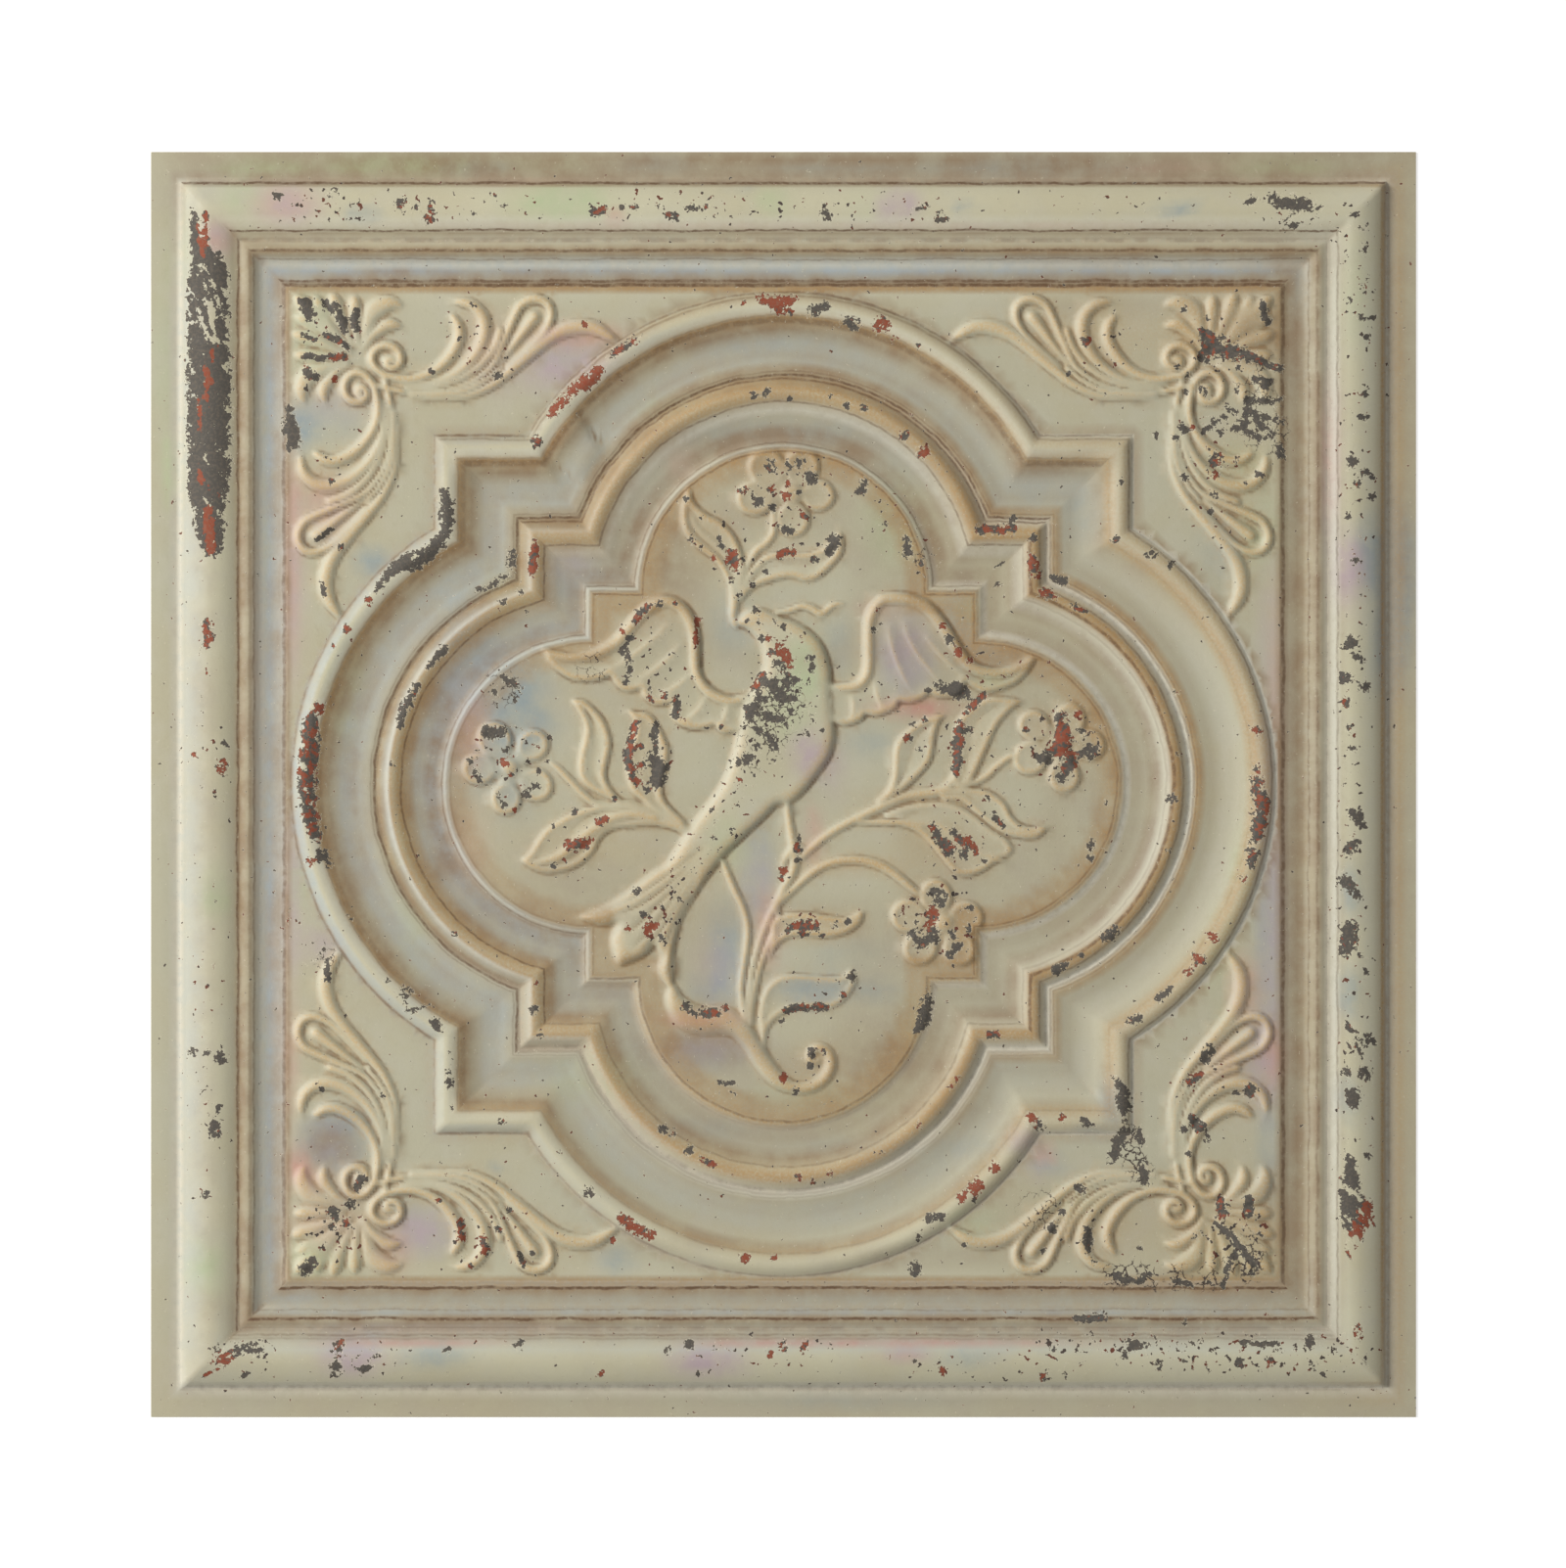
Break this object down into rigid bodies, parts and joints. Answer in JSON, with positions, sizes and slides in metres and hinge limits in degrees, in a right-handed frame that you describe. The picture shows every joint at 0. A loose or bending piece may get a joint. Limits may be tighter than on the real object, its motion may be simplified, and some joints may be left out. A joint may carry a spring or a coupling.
{
  "type": "drop ceiling tile",
  "caption": "Square lay-in ceiling tile of thin formed plastic, embossed with a moulded frame, a barbed quatrefoil, leaf scrolls at the corners and a bird among blossoms.",
  "frame": {"origin": "middle of the flange's underside, on the surface that the tile lies on", "axes": "+Z out of the painted face, +Y towards the top of the pattern, +X to its right"},
  "size_m": [0.595, 0.595, 0.0108],
  "materials": {
    "painted_sheet": "antique cream paint over brown, worn and chipped"
  },
  "bodies": {
    "root": {"ceiling_tile": "painted_sheet"}
  },
  "joints": []
}
